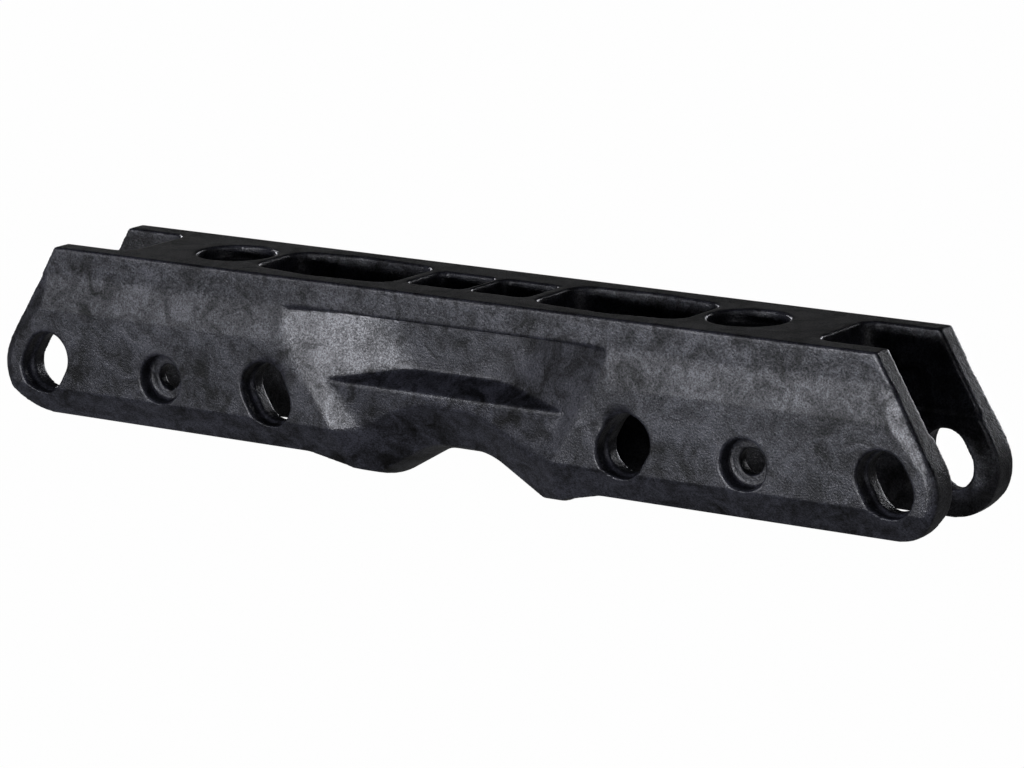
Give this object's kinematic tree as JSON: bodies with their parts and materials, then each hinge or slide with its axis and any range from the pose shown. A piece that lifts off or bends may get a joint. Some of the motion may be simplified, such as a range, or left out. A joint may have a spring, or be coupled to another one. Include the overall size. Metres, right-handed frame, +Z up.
{
  "type": "inline skate frame",
  "caption": "Moulded inline skate frame with a boot deck, tilted axle slots, cross holes, a grind scoop and a bottom arch.",
  "frame": {"origin": "on the ground plane under the middle of the frame, at the height of the foot tips", "axes": "+X along the skate towards the front, +Y across it, +Z up to the boot"},
  "size_m": [0.2986, 0.043, 0.0548],
  "materials": {
    "moulded_plastic": "black glass-filled moulding with faint flow clouds and a satin sheen",
    "zinc_steel": "zinc-plated steel",
    "dark_steel": "black oxide steel"
  },
  "bodies": {
    "frame": {"frame_body": "moulded_plastic"},
    "front_plate": {"front_mount_plate": "zinc_steel"},
    "rear_plate": {"rear_mount_plate": "zinc_steel"},
    "front_bolt": {"front_mount_bolt": "dark_steel"},
    "rear_bolt": {"rear_mount_bolt": "dark_steel"}
  },
  "joints": [
    {"name": "front_plate_slide", "type": "slide", "parent": "frame", "child": "front_plate", "axis": [1, 0, 0], "range_m": [-0.0035, 0.0035]},
    {"name": "front_bolt_slide", "type": "slide", "parent": "front_plate", "child": "front_bolt", "axis": [0, 0, 1], "range_m": [0, 0.01]},
    {"name": "rear_plate_slide", "type": "slide", "parent": "frame", "child": "rear_plate", "axis": [1, 0, 0], "range_m": [-0.0035, 0.0035]},
    {"name": "rear_bolt_slide", "type": "slide", "parent": "rear_plate", "child": "rear_bolt", "axis": [0, 0, 1], "range_m": [0, 0.01]}
  ]
}
